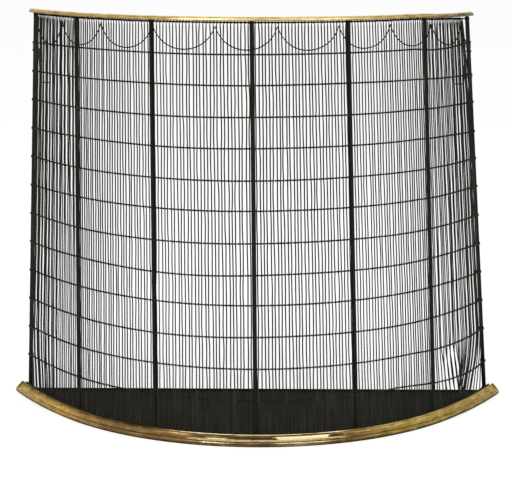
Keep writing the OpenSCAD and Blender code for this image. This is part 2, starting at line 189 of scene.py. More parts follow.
# How far each cross wire sits above its even height, and how far it hangs down left of the
# middle, in millimetres, from the top one to the lowest
ROW_RISE = (0.3, 1.0, 0.5, 1.2, 0.3, 2.2, 0.2, 0.8, 2.5, 1.8, 1.0, 0.0)
ROW_HANG = (1.3, 1.3, 1.8, 2.0, 2.5, 3.0, 2.2, 4.2, 1.8, 2.8, 1.0, 0.0)
HANG_TURN, HANG_SPREAD = -14.0, 22.0
# Degrees from an end post over which a wire comes back to its even height
END_FADE = 10
# Some hang down at the right end, and the two lowest ones have been trodden down there: by row, at a
# turn, in millimetres
TRODDEN = {
    1: ((43, 0), (48.8, 3.8), (52, 3.6), (53.9, 2.4), (55.8, 0.6), (57.4, -1), (60, -3)),
    2: ((43, 0), (48.8, 2), (50.4, 2.9), (53.9, 3.4), (57.4, 3.8), (60, 3.8)),
    3: ((43, 0), (48.8, 1.9), (53.9, 1.5), (60, 1.5)),
    4: ((43, 0), (48.8, 1.9), (53.9, 2), (57.4, 2.9), (60, 3)),
    6: ((43, 0), (48.8, 1.6), (52, 0.5), (57, -0.6), (60, -0.8)),
    11: ((40, 0), (47, 3.5), (52, 4.6), (56, 3.2), (60, 0)),
    12: ((34, -1), (39, 1.6), (47, 8), (50, 11.5), (54, 13.7), (57, 13), (60, 8.5)),
}


def laced_z(row, turn):
    """Height of a hand-laced cross wire at a turn; most keep their even height at the end posts"""
    hang = ROW_HANG[row - 1] * math.exp(-((turn - HANG_TURN) / HANG_SPREAD) ** 2)
    trodden = between(TRODDEN[row], turn) if row in TRODDEN and turn > TRODDEN[row][0][0] else 0.0
    inside = min(1.0, (END_TURN - abs(turn)) / END_FADE)
    return row_z(row) + (ROW_RISE[row - 1] - hang) * inside - trodden


# An uneven number is the sum of waves of different pace and start
WAVES, WAVE_PACE, WAVE_START, WAVE_SUM = 3, (0.5, 1.6), (0, 6.3), 2.2


def wander(seed, place):
    """A smooth uneven number between about -1 and 1 that differs for each seed"""
    dice = random.Random(seed)
    waves = [(dice.uniform(*WAVE_PACE), dice.uniform(*WAVE_START)) for _ in range(WAVES)]
    return sum(math.sin(place * pace + start) for pace, start in waves) / WAVE_SUM


def linear(hex_colour):
    """Linear colour of an sRGB hex value"""
    channels = [int(hex_colour[i:i + 2], 16) / 255 for i in (1, 3, 5)]
    return [c / 12.92 if c <= 0.04045 else ((c + 0.055) / 1.055) ** 2.4 for c in channels]


def colour(name, words, hex_colour):
    return bpy.props.FloatVectorProperty(
        name=name, description=words, subtype="COLOR", size=3, min=0, max=1,
        default=linear(hex_colour))


def length(name, words, millimetres):
    return bpy.props.FloatProperty(
        name=name, description=words, default=millimetres * MM, min=0.0, unit="LENGTH", precision=5)


class GuardSizes(bpy.types.PropertyGroup):
    upright_d: length("Upright wire", "Thickness of the upright wires of the front bays", 2.3)
    end_upright_d: length("End bay wire", "Thickness of the upright wires of the two end bays", 2.1)
    strand_d: length("Cross strand", "Thickness of each of the two strands of a cross wire", 1.6)
    swag_strand_d: length("Swag strand", "Thickness of each strand of the swag wire", 1.3)
    binding_d: length("Binding wire", "Thickness of the binding wire", 1.0)
    unevenness: length("Unevenness", "How far the uprights wander sideways between rows", 0.75)
    push: bpy.props.FloatProperty(
        name="Pushed corners", description="How much of the old knocks the low corners show",
        default=1.0, min=0.0, max=1.3, subtype="FACTOR")


class GuardColours(bpy.types.PropertyGroup):
    # Colour of the polished brass, and of the painted highlights on the rail and moulding
    brass_polish_and_highlight: colour("Polished brass", "Rubbed crests of the rail and moulding", "#F8E9B2")
    brass_gold: colour("Golden brass", "Warm tarnish near the left end of the moulding", "#B8923F")
    brass_brown: colour("Brown brass", "Dark tarnish along the middle of the moulding", "#866838")
    brass_olive: colour("Greenish brass", "Tarnish at the tips and on the right half", "#A88D3C")
    brass_pale: colour("Pale brass", "Tarnish along the rail", "#B79659")
    brass_grey: colour("Greyish brass", "Tarnish at the ends of the rail", "#B0A67C")
    # Colour of dirt in the hollows, and also of the painted shade at the moulding's foot and under the
    # rail, and of the painted dark reflection in the cove
    brass_dirt_and_shade: colour("Brass dirt", "Dark brown dirt in the hollows", "#34281A")
    iron: colour("Blackened iron", "Posts and rods", "#1C1B14")
    iron_worn: colour("Worn iron", "Rubbed places on the iron, and the hooks", "#4B443A")
    wire: colour("Iron wire", "Uprights, cross wires and swag wire", "#201D17")
    wire_pale: colour("Bare wire", "Wires whose black has worn off", "#403C36")
    tray: colour("Tray iron", "Dark japanned sheet of the tray", "#1C1C16")
    rust: colour("Rust", "Rusty binding wire and stains", "#553A2B")
    floor: colour("Floor", "Pale studio floor", "#F4F4F4")


def add(tree, kind, settings=None, **links):
    """Adds one node with its settings and links; stops fills a colour ramp.

    A setting or link called input with a number is the input at that place.
    """
    node = tree.nodes.new("ShaderNode" + kind)
    for key, value in (settings or {}).items():
        if key == "stops":
            ramp = node.color_ramp
            while len(ramp.elements) < len(value):
                ramp.elements.new(0.5)
            for element, (place, tint) in zip(ramp.elements, value):
                element.position = place
                element.color = (*tint, 1) if hasattr(tint, "__len__") else (tint, tint, tint, 1)
        elif key in node.inputs:
            node.inputs[key].default_value = value
        elif key.startswith("input"):
            node.inputs[int(key[5:])].default_value = value
        else:
            setattr(node, key, value)
    for key, socket in links.items():
        place = int(key[5:]) if key.startswith("input") else key.replace("_", " ")
        tree.links.new(socket, node.inputs[place])
    return node


def new_material(name):
    """A material without nodes, its node tree and its object coordinates"""
    material = bpy.data.materials.new(name)
    material.use_nodes = True
    tree = material.node_tree
    tree.nodes.clear()
    return material, tree, add(tree, "TexCoord").outputs["Object"]


def close_material(material, settings, **links):
    """Gives a material its principled shader, with the shader's settings and links"""
    tree = material.node_tree
    shader = add(tree, "BsdfPrincipled", settings, **links)
    add(tree, "OutputMaterial", Surface=shader.outputs[0])
    return material


def aged_brass(name, end_bands, layers, tints):
    """Rolled brass that was lacquered once, with tarnish of different tints along its length and painted
    light and shade in bands.

    Bands are heights in millimetres with how bright the brass is there, from 0 to 1: polish and dirt,
    together with painted highlights, painted dark reflections and painted shade. The layers are bands
    that take the place of the end bands where their marks, at X in millimetres, rise to 1. The tints are
    those of the tarnish, at shares of the width of the guard.
    """
    look = bpy.context.scene.guard_colours
    material, tree, place = new_material(name)
    split = add(tree, "SeparateXYZ", input0=place)
    # Blotches of tarnish 25 mm across, streaks 40 mm long and 2 mm high that run a little aslant as
    # the polishing cloth did, specks of 1.6 mm and pits of 2.4 mm
    blotch = add(tree, "TexNoise", {"Scale": 40.0, "Detail": 5.0, "Roughness": 0.65}, Vector=place)
    aslant = add(tree, "Mapping", {
        "Rotation": (0.0, math.radians(4.0), 0.0), "Scale": (25.0, 25.0, 500.0)}, Vector=place)
    streak = add(tree, "TexNoise", {"Scale": 1.0, "Detail": 3.0, "Roughness": 0.6},
                 Vector=aslant.outputs[0])
    speck = add(tree, "TexNoise", {"Scale": 620.0, "Detail": 2.0, "Roughness": 0.6}, Vector=place)
    pit = add(tree, "TexVoronoi", {"Scale": 420.0}, Vector=place)

    # Places along X, made ragged by 35 mm, as shares of a reach in millimetres to each side
    reach, rag = 500.0, 35.0 * MM
    ragged = add(tree, "MapRange", {"To Min": -rag, "To Max": rag}, Value=blotch.outputs["Fac"])
    across = add(tree, "Math", {"operation": "ADD"}, input0=split.outputs["X"],
                 input1=ragged.outputs[0])
    share = add(tree, "MapRange", {"From Min": -reach * MM, "From Max": reach * MM},
                Value=across.outputs[0])
    polish_and_painted_light = None
    for bands, marks in [(end_bands, None)] + layers:
        low, high = bands[0][0], bands[-1][0]
        height = add(tree, "MapRange", {"From Min": low * MM, "From Max": high * MM},
                     Value=split.outputs["Z"])
        stops = [((z - low) / (high - low), bright) for z, bright in bands]
        layer = add(tree, "ValToRGB", {"stops": stops}, Fac=height.outputs[0]).outputs["Color"]
        if polish_and_painted_light is None:
            polish_and_painted_light = layer
            continue
        stops = [((x + reach) / (2 * reach), full) for x, full in marks]
        where = add(tree, "ValToRGB", {"stops": stops}, Fac=share.outputs[0])
        polish_and_painted_light = add(tree, "Mix", {"data_type": "RGBA"}, Factor=where.outputs["Color"],
                     input6=polish_and_painted_light, input7=layer).outputs[2]
    # Each texture moves the polish and painted light between two of its values; the last two rows are
    # dark scratches
    for texture, first, last, least, most in (
            (blotch, 0.32, 0.68, -0.13, 0.11),
            (streak, 0.32, 0.68, -0.19, 0.17),
            (speck, 0.32, 0.68, -0.16, 0.12),
            (streak, 0.6, 0.65, 0.0, -0.4),
            (speck, 0.6, 0.68, 0.0, -0.4)):
        uneven = add(tree, "MapRange", {
            "From Min": first, "From Max": last, "To Min": least, "To Max": most},
                     Value=texture.outputs["Fac"])
        polish_and_painted_light = add(tree, "Math", {"operation": "ADD", "use_clamp": True}, input0=polish_and_painted_light,
                     input1=uneven.outputs[0]).outputs[0]

    along = add(tree, "MapRange", {"From Min": cad_low.x, "From Max": cad_high.x},
                Value=split.outputs["X"])
    dull = add(tree, "ValToRGB", {"stops": tints}, Fac=along.outputs[0])
    # Below 0.45 the brass darkens towards dirt and painted shade; above 0.5 it brightens towards polish
    # and painted highlights
    tarnish_and_painted_shade = add(tree, "MapRange", {"From Max": 0.45}, Value=polish_and_painted_light)
    low_tone = add(tree, "Mix", {"data_type": "RGBA", "input6": (*look.brass_dirt_and_shade, 1)},
                   Factor=tarnish_and_painted_shade.outputs[0], input7=dull.outputs["Color"])
    shine_and_painted_highlight = add(tree, "MapRange", {"From Min": 0.5, "From Max": 0.85}, Value=polish_and_painted_light)
    tone = add(tree, "Mix", {"data_type": "RGBA", "input7": (*look.brass_polish_and_highlight, 1)},
               Factor=shine_and_painted_highlight.outputs[0], input6=low_tone.outputs[2])
    rough = add(tree, "MapRange", {"To Min": 0.6, "To Max": 0.22}, Value=polish_and_painted_light)
    pits = add(tree, "MapRange", {"From Min": 0.0, "From Max": 0.35}, Value=pit.outputs["Distance"])
    bump = add(tree, "Bump", {"Strength": 0.3, "Distance": 0.3 * MM}, Height=pits.outputs[0])
    return close_material(material, {"Metallic": 0.85}, Base_Color=tone.outputs[2],
                          Roughness=rough.outputs[0], Normal=bump.outputs[0])


def blackened_iron(name, tint, worn, rubbed=0.2):
    """Forged or drawn iron blackened in the fire: near black, dull rubbed places, a soft sheen"""
    material, tree, place = new_material(name)
    # Rubbed patches 20 mm across, and a grain of 2 mm left from the forge
    patch = add(tree, "TexNoise", {"Scale": 50.0, "Detail": 4.0, "Roughness": 0.7}, Vector=place)
    grain = add(tree, "TexNoise", {"Scale": 480.0, "Detail": 3.0}, Vector=place)
    wear = add(tree, "MapRange", {
        "From Min": 0.52, "From Max": 0.78, "To Max": rubbed}, Value=patch.outputs["Fac"])
    tone = add(tree, "Mix", {"data_type": "RGBA", "input6": (*tint, 1), "input7": (*worn, 1)},
               Factor=wear.outputs[0])
    rough = add(tree, "MapRange", {"To Min": 0.42, "To Max": 0.7}, Value=grain.outputs["Fac"])
    bump = add(tree, "Bump", {"Strength": 0.3, "Distance": 0.2 * MM}, Height=grain.outputs["Fac"])
    return close_material(material, {"Specular IOR Level": 0.06}, Base_Color=tone.outputs[2],
                          Roughness=rough.outputs[0], Normal=bump.outputs[0])


def drawn_wire(name, tint, pale):
    """Soft iron wire, blackened, and worn to bare grey on some wires and not on others"""
    material, tree, place = new_material(name)
    # Each wire is 6 mm from the next, so a noise with 9 mm cells along X and Y differs from wire
    # to wire; it is 125 mm long up the wire. The wire's own grain is 1.4 mm
    stretched = add(tree, "Mapping", {"Scale": (110.0, 110.0, 8.0)}, Vector=place)
    which = add(tree, "TexNoise", {"Scale": 1.0, "Detail": 2.0}, Vector=stretched.outputs[0])
    grain = add(tree, "TexNoise", {"Scale": 700.0, "Detail": 2.0}, Vector=place)
    wear = add(tree, "MapRange", {
        "From Min": 0.5, "From Max": 0.72, "To Max": 0.85}, Value=which.outputs["Fac"])
    tone = add(tree, "Mix", {"data_type": "RGBA", "input6": (*tint, 1), "input7": (*pale, 1)},
               Factor=wear.outputs[0])
    rough = add(tree, "MapRange", {"To Min": 0.38, "To Max": 0.62}, Value=grain.outputs["Fac"])
    return close_material(material, {"Specular IOR Level": 0.06}, Base_Color=tone.outputs[2],
                          Roughness=rough.outputs[0])


def japanned_sheet(name, tint, worn):
    """Sheet iron under a thin dark varnish baked on by hand: flat, dusty and faintly streaked"""
    material, tree, place = new_material(name)
    # Streaks of dust 100 mm long and 20 mm wide, and specks of 4 mm
    streaks = add(tree, "Mapping", {"Scale": (6.0, 30.0, 30.0)}, Vector=place)
    dust = add(tree, "TexNoise", {"Scale": 1.6, "Detail": 6.0, "Roughness": 0.7},
               Vector=streaks.outputs[0])
    speck = add(tree, "TexNoise", {"Scale": 260.0, "Detail": 3.0}, Vector=place)
    wear = add(tree, "MapRange", {
        "From Min": 0.5, "From Max": 0.85, "To Max": 0.3}, Value=dust.outputs["Fac"])
    tone = add(tree, "Mix", {"data_type": "RGBA", "input6": (*tint, 1), "input7": (*worn, 1)},
               Factor=wear.outputs[0])
    rough = add(tree, "MapRange", {"To Min": 0.62, "To Max": 0.85}, Value=speck.outputs["Fac"])
    bump = add(tree, "Bump", {"Strength": 0.15, "Distance": 0.3 * MM}, Height=speck.outputs["Fac"])
    return close_material(material, {"Specular IOR Level": 0.04}, Base_Color=tone.outputs[2],
                          Roughness=rough.outputs[0], Normal=bump.outputs[0])


def rusty_wire(name, tint, dark):
    """Soft binding wire rusted brown all over, rough and without shine"""
    material, tree, place = new_material(name)
    # Flakes of 2 mm, the loosest ones paler
    flakes = add(tree, "TexNoise", {"Scale": 520.0, "Detail": 4.0, "Roughness": 0.7}, Vector=place)
    paler = [c * 1.8 for c in tint]
    tone = add(tree, "ValToRGB", {"stops": [(0.3, dark), (0.55, tint), (0.8, paler)]},
               Fac=flakes.outputs["Fac"])
    bump = add(tree, "Bump", {"Strength": 0.6, "Distance": 0.2 * MM}, Height=flakes.outputs["Fac"])
    return close_material(material, {"Roughness": 0.85, "Specular IOR Level": 0.2},
                          Base_Color=tone.outputs["Color"], Normal=bump.outputs[0])


def link_new(name, data):
    """A new object in the scene with this mesh, curve, lamp or camera"""
    thing = bpy.data.objects.new(name, data)
    bpy.context.scene.collection.objects.link(thing)
    return thing


def finish_piece(piece, material, slot, body, *nodes):
    """Gives a new piece its material, puts it on its body and hides the parts it stands for"""
    piece.data.materials.clear()
    piece.data.materials.append(material)
    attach(piece, body)
    if nodes:
        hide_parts(*nodes)
    return piece


# Points nearer than this, in metres, are one; an edge sharper than this, in degrees, stays sharp
WELD, SHARP = 1e-7, 38


def wire_piece(name, paths, thickness, sides=6, shares=None):
    """One mesh of round wires that follow the paths; shares gives the thickness at each point"""
    curve = bpy.data.curves.new(name, "CURVE")
    curve.dimensions = "3D"
    curve.bevel_depth = thickness / 2
    curve.bevel_resolution = (sides - 4) // 2
    curve.use_fill_caps = True
    for path in paths:
        spline = curve.splines.new("POLY")
        spline.points.add(len(path) - 1)
        spline.points.foreach_set("co", [c for point in path for c in (*point, 1.0)])
        if shares:
            spline.points.foreach_set("radius", shares)
    source = link_new(name, curve)
    bpy.context.view_layer.update()
    depsgraph = bpy.context.evaluated_depsgraph_get()
    mesh = bpy.data.meshes.new_from_object(source.evaluated_get(depsgraph))
    bpy.data.objects.remove(source)
    bpy.data.curves.remove(curve)
    mesh.name = name
    shape = bmesh.new()
    shape.from_mesh(mesh)
    bmesh.ops.remove_doubles(shape, verts=shape.verts, dist=WELD)
    bmesh.ops.recalc_face_normals(shape, faces=shape.faces)
    shape.to_mesh(mesh)
    shape.free()
    mesh.shade_smooth()
    return link_new(name, mesh)


def swept_piece(name, outline, z, reach, front_steps=220, side_steps=60):
    """One closed mesh: an outline of (out, height) points spun along the bow"""
    shape = bmesh.new()
    start = [shape.verts.new(on_side(-reach, z, out, height)) for out, height in outline]
    ring = [shape.edges.new((a, b)) for a, b in zip(start, start[1:] + start[:1])]
    moved = start + ring
    for side, angle, steps in ((-1, reach - FRONT_TURN, side_steps), (0, 2 * FRONT_TURN, front_steps),
                               (1, reach - FRONT_TURN, side_steps)):
        x, y = arc_centre(z, side)
        moved = bmesh.ops.spin(shape, geom=moved, cent=(x * MM, y * MM, 0), axis=(0, 0, 1),
                               angle=math.radians(angle), steps=steps)["geom_last"]
    bmesh.ops.contextual_create(shape, geom=start)
    bmesh.ops.contextual_create(shape, geom=[v for v in moved if isinstance(v, bmesh.types.BMVert)])
    bmesh.ops.recalc_face_normals(shape, faces=shape.faces)
    mesh = bpy.data.meshes.new(name)
    shape.to_mesh(mesh)
    shape.free()
    mesh.shade_smooth()
    mesh.set_sharp_from_angle(angle=math.radians(SHARP))
    return link_new(name, mesh)


def on_side(turn, z, out, height):
    """A point of an outline at a turn on the bow of a height, in metres"""
    point = on_bow(turn, z, out)
    point.z = height * MM
    return point


def turn_past(past, z):
    """Turn of a place some millimetres past the end posts, at a height"""
    return END_TURN + math.degrees(past / side_r(z))


def arc_points(centre, radius, first, last, steps):
    """Points of an outline on an arc from a first angle to a last one, in degrees"""
    return [(centre[0] + radius * cosine(first + (last - first) * i / steps),
             centre[1] + radius * sine(first + (last - first) * i / steps)) for i in range(steps + 1)]


class FIRE_GUARD_OT_iron_frame(bpy.types.Operator):
    """Gives the posts, rods, kerb, tray and small fixings their iron finishes"""

    bl_idname = "fire_guard.iron_frame"
    bl_label = "Iron Frame"

    def execute(self, context):
        look = context.scene.guard_colours
        iron = blackened_iron("blackened_wrought_iron", look.iron, look.iron_worn)
        kerb = blackened_iron("blackened_kerb_iron", look.iron, look.iron_worn, rubbed=0.12)
        sheet = japanned_sheet("japanned_sheet_iron", look.tray, look.iron_worn)
        worn = blackened_iron("worn_iron_rod", look.iron_worn, look.rust, rubbed=0.5)
        rust = rusty_wire("rusted_rim_wire", look.rust, look.iron)
        finishes = {"floor_plate": sheet, "kerb": kerb, "rim_wire": rust, "moulding_screws": worn}
        for name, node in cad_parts.items():
            if name.startswith("hook"):
                finishes[name] = worn
            node.data.materials.clear()
            node.data.materials.append(finishes.get(name, iron))
        return {"FINISHED"}


# The low ends of the wires in the end bays have been pushed sideways: at a count of wires from the
# bay's left post, millimetres along the bow
PUSHED = {
    0: ((0, 0), (1, 12), (5, 16), (10, 11), (15, 4), (20, 0), (SPACES, 0)),
    BAYS - 1: ((0, 0), (1, 5), (4, 12), (8, 16), (12, 18), (13, 14), (14, -10), (16, -24), (18, -32),
               (20, -38), (24, -44), (26, -43), (28, -30), (29, -20)),
}
# The push grows downwards, from nothing at the first height to all of it at the second
PUSH_TOP, PUSH_LOW, PUSH_POWER = 130.0, 20.0, 1.4
# In the right bay wires that stand side by side have been crossed over one another as well
CROSSED_FROM, CROSSED_TO, CROSSED_BY = 3, 13, 4.0


def pushed(bay, count, z):
    """How far a wire has been pushed along the bow at a height, in millimetres"""
    if bay not in PUSHED:
        return 0.0
    reach = min(1.0, max(0.0, (PUSH_TOP - z) / (PUSH_TOP - PUSH_LOW)))
    crossed = 0.0
    if bay == BAYS - 1 and CROSSED_FROM < count < CROSSED_TO:
        crossed = CROSSED_BY * (-1) ** count * math.sin(math.pi * reach)
    return between(PUSHED[bay], count) * reach ** PUSH_POWER + crossed


# Beside the right end post the tops of some uprights have been drawn together, away from the
# post: at a count of wires from the bay's left post, millimetres along the bow
DRAWN = {25: -5.0, 26: -9.0, 27: -13.0, 28: -17.0}
DRAWN_SHARES = ((row_z(3), 0.0), (row_z(2), 0.25), (row_z(1), 0.7), (TOP_ROD_Z, 1.0))


def drawn(bay, count, z):
    """How far the top of a wire has been drawn along the bow at a height, in millimetres"""
    if bay != BAYS - 1 or count not in DRAWN:
        return 0.0
    return DRAWN[count] * between(DRAWN_SHARES, z)


# An upright is thinned to this share where it loops over a rod, over a length under the top loop
LOOP_SHARE, THINNING = 0.58, 4.0
LOOP_STEPS, GAP_STEPS, HEAD_STEP = 7, 7, 25.0
# Its loops slant sideways, most of them the same way, and its tucked end most of all
SLANT, SLANT_ODDS = (0.7, 1.5), 0.8
TUCK_DROP, TUCK_OUT, TUCK_SLANT = 2.5, 0.2, 1.3
# Between rows a wire is nearly straight; neighbours lean together, most of all in the end bays
LEAN_END, LEAN_FRONT = 1.0, 0.4
# Shares of the unevenness, the lengths in millimetres over which it fades at the rods, and how far
# a wire sways in and out
HELD_SHARE, BELLY_SHARE, BELLY_ROUND, SWAY_SHARE, SWAY_LENGTH = 0.5, 1.3, 0.7, 0.5, 60
FADE_TOP, FADE_LOW, OUT_SWAY = 20, 12, 0.25


def upright_path(bay, count, uneven, push):
    """Path of one upright from the bottom rod over the top rod, and its thickness shares"""
    dice = random.Random(bay * 100 + count)
    loop_r = ROD_R + WIRE_R * LOOP_SHARE
    slant = dice.uniform(*SLANT) * (1 if dice.random() < SLANT_ODDS else -1)
    lean = LEAN_END if bay in (0, BAYS - 1) else LEAN_FRONT
    held = [dice.uniform(-HELD_SHARE, HELD_SHARE) * uneven + lean * clump(bay, count, row)
            for row in range(ROWS + 2)]
    belly = [dice.uniform(-1, 1) ** 3 * BELLY_SHARE * uneven for _ in range(ROWS + 1)]
    low_shift = push * pushed(bay, count, BOTTOM_ROD_Z)
    rows = [laced_z(row, upright_turn(bay, count, row_z(row))) for row in range(1, ROWS + 1)]
    head_turn = upright_turn(bay, count, TOP_ROD_Z)
    top = TOP_ROD_Z - settled(head_turn)
    head_shift = drawn(bay, count, TOP_ROD_Z)
    heights = [top] + rows + [BOTTOM_ROD_Z]
    path, shares = [], []
    foot_turn = upright_turn(bay, count, BOTTOM_ROD_Z)
    for i in range(LOOP_STEPS):
        angle = 180 + 180 * i / (LOOP_STEPS - 1)
        path.append(on_bow(foot_turn, BOTTOM_ROD_Z + loop_r * sine(angle),
                           ROD_OUT + loop_r * cosine(angle),
                           low_shift + slant * (i / (LOOP_STEPS - 1) - 1)))
        shares.append(LOOP_SHARE)
    for gap in range(ROWS, -1, -1):
        low, high = heights[gap + 1], heights[gap]
        for i in range(1, GAP_STEPS + 1):
            share = i / GAP_STEPS
            z = low + (high - low) * share
            fade = min(1.0, (top - z) / FADE_TOP, (z - BOTTOM_ROD_Z) / FADE_LOW)
            side = held[gap + 1] * (1 - share) + held[gap] * share
            side += belly[gap] * math.sin(math.pi * share) ** BELLY_ROUND
            side += uneven * SWAY_SHARE * wander(bay * 7 + count // 3, z / SWAY_LENGTH)
            side = side * fade + push * pushed(bay, count, z) + drawn(bay, count, z)
            out = OUT_SWAY * math.sin(2 * math.pi * share) * fade
            path.append(on_bow(upright_turn(bay, count, z), z, out, side))
            shares.append(LOOP_SHARE + (1 - LOOP_SHARE) * min(1.0, (top - z) / THINNING))
    for i in range(1, LOOP_STEPS + 2):
        angle = min(180.0, HEAD_STEP * i)
        path.append(on_bow(head_turn, top + loop_r * sine(angle), ROD_OUT + loop_r * cosine(angle),
                           head_shift + slant * i / (LOOP_STEPS + 1)))
        shares.append(LOOP_SHARE)
    path.append(on_bow(head_turn, top - TUCK_DROP, ROD_OUT - loop_r + TUCK_OUT,
                       head_shift + slant * TUCK_SLANT))
    shares.append(LOOP_SHARE)
    return path, shares


# Five neighbours are drawn together in two and three by these shifts in millimetres, times a strength
# that wanders from row to row
CLUMP = (1.5, 0.3, -1.1, 0.9, -1.2)
CLUMP_MEAN, CLUMP_SWAY, CLUMP_ROWS = 0.75, 0.5, 2.3


def clump(bay, count, row):
    """Sideways shift that draws the wires of a bay together in twos and threes, in millimetres"""
    strength = CLUMP_MEAN + CLUMP_SWAY * wander(bay * 13 + count // len(CLUMP), row / CLUMP_ROWS)
    return CLUMP[(count + bay) % len(CLUMP)] * strength


class FIRE_GUARD_OT_upright_wires(bpy.types.Operator):
    """Builds the uprights of each bay, looped over both rods and a little bent by age"""

    bl_idname = "fire_guard.upright_wires"
    bl_label = "Upright Wires"

    def execute(self, context):
        sizes, look = context.scene.guard_sizes, context.scene.guard_colours
        finish = drawn_wire("blackened_iron_wire", look.wire, look.wire_pale)
        for bay in range(BAYS):
            wires = [upright_path(bay, count, sizes.unevenness / MM, sizes.push)
                     for count in range(1, SPACES)]
            thickness = sizes.end_upright_d if bay in (0, BAYS - 1) else sizes.upright_d
            piece = wire_piece(f"uprights_{bay + 1}", [path for path, _ in wires], thickness,
                               shares=wires[0][1])
            finish_piece(piece, finish, "blackened_iron", "guard", f"wires_bay_{bay + 1}")
        return {"FINISHED"}


# A strand goes this many turns round an end post, and moves up or down it meanwhile, from a start
# and by a creep in strand radii
WRAP_TURNS, WRAP_STEPS, WRAP_START, WRAP_CREEP = 1.1, 30, 0.6, 1.32
# Steps for each wire space, and how far a row wanders up and down over how many spaces
LACE_STEPS, ROW_SWAY, ROW_SWAY_SPACES = 6, 0.4, 14


def laced_paths(row, strand_r):
    """Two strands of a cross wire, twisted half a turn between uprights, wrapped on the end posts"""
    reach, wrap_r, middle = WIRE_R + strand_r, END_POST_R + strand_r, WIRE_R - END_POST_R
    paths = []
    for strand in (0, 1):
        wraps = []
        for end in (-1, 1):
            wrap = []
            for i in range(WRAP_STEPS + 1):
                share = i / WRAP_STEPS
                # A strand starts in front of the end post or behind it, and goes round its outer side
                angle = 180 * strand + end * 360 * WRAP_TURNS * share
                up = (1 if strand else -1) * (WRAP_START + WRAP_CREEP * share) * strand_r
                wrap.append(on_bow(end * END_TURN, laced_z(row, end * END_TURN) + up,
                                   middle + wrap_r * cosine(angle), wrap_r * sine(angle)))
            wraps.append(wrap)
        path = wraps[0][::-1]
        for i in range(LACE_STEPS, (BAYS * SPACES - 1) * LACE_STEPS + 1):
            space = i / LACE_STEPS
            turn = space_turn(space, row_z(row))
            swing = cosine(180 * (space + strand))
            out = reach * swing
            # Behind a post, which is thicker than an upright, a strand goes further in
            if swing < 0 and abs(space - SPACES * round(space / SPACES)) < 0.5:
                out += 2 * (POST_R - WIRE_R) * swing
            z = laced_z(row, turn) + strand_r * sine(180 * (space + strand))
            path.append(on_bow(turn, z + ROW_SWAY * wander(row * 31, space / ROW_SWAY_SPACES), out))
        paths.append(path + wraps[1])
    return paths


class FIRE_GUARD_OT_cross_wires(bpy.types.Operator):
    """Laces twelve two-strand cross wires round the uprights and the posts"""

    bl_idname = "fire_guard.cross_wires"
    bl_label = "Cross Wires"

    def execute(self, context):
        sizes, look = context.scene.guard_sizes, context.scene.guard_colours
        finish = drawn_wire("blackened_lacing_wire", look.wire, look.rust)
        for row in range(1, ROWS + 1):
            piece = wire_piece(f"laced_row_{row:02d}", laced_paths(row, sizes.strand_d / MM / 2),
                               sizes.strand_d)
            finish_piece(piece, finish, "blackened_iron", "guard", f"cross_wire_{row:02d}")
        return {"FINISHED"}


# The swag wire: where it peaks and where it hangs lowest, counted in wire spaces, and its drop
SWAG_PEAKS = (3.4, 22.7, 42.3, 60.9, 79.6, 97.6, 116.5, 134.2, 152.2, 172.0, 183.0)
SWAG_LOWS = (14.5, 32.6, 51.6, 70.2, 88.4, 106.6, 124.8, 143.2, 163.4, 178.6)
SWAG_END, SWAG_STEPS = 179.3, 8
SWAG_PEAK_DROP, SWAG_DEPTH, SWAG_CROWN = 6.5, 38.5, 0.03
# How much deeper some swags hang, in millimetres
SWAG_SINK = (6.0, 1.2, 0.7, 0.3, 0.3, 1.0, 0, 0, 0, 0)
# A swag hangs between a parabola and half an ellipse
SWAG_FLAT, SWAG_STEEP = 2.2, 0.65


def swag_drop(space):
    """How far the swag wire hangs below the top rod at a count of wire spaces"""
    for left, low, right, sink in zip(SWAG_PEAKS, SWAG_LOWS, SWAG_PEAKS[1:], SWAG_SINK):
        if space <= right:
            side = (space - left) / (low - left) if space < low else (right - space) / (right - low)
            # The crown rounds the peak, where the wire is bent over and not folded
            side = math.hypot(max(side, 0.0), SWAG_CROWN) - SWAG_CROWN
            share = (1 - (1 - min(side, 1.0)) ** SWAG_FLAT) ** SWAG_STEEP
            return SWAG_PEAK_DROP + (SWAG_DEPTH + sink) * share


class FIRE_GUARD_OT_swag_wire(bpy.types.Operator):
    """Hangs the two-strand swag wire in front of the uprights, from the top rod"""

    bl_idname = "fire_guard.swag_wire"
    bl_label = "Swag Wire"

    def execute(self, context):
        sizes, look = context.scene.guard_sizes, context.scene.guard_colours
        strand_r = sizes.swag_strand_d / MM / 2
        paths = []
        for strand in (0, 180):
            path = []
            for i in range(int(SWAG_PEAKS[0] * SWAG_STEPS), int(SWAG_END * SWAG_STEPS) + 1):
                space = i / SWAG_STEPS
                angle = 360 * space + strand
                turn = space_turn(space, TOP_ROD_Z)
                z = TOP_ROD_Z - settled(turn) - swag_drop(space) + strand_r * sine(angle)
                path.append(on_bow(turn, z, WIRE_R + 2 * strand_r + strand_r * cosine(angle)))
            paths.append(path)
        piece = wire_piece("swag_twist", paths, sizes.swag_strand_d)
        finish_piece(piece, drawn_wire("blackened_swag_wire", look.wire, look.wire_pale),
                     "blackened_iron", "guard", "swag_wire")
        return {"FINISHED"}


# Half the rail's width, its upright edge with a small chamfer, how far it goes past the end posts,
# and the step round its crown in degrees
RAIL_HALF, RAIL_EDGE, RAIL_CHAMFER, RAIL_PAST, RAIL_STEP = 8.5, 1.4, 0.4, 8.0, 9


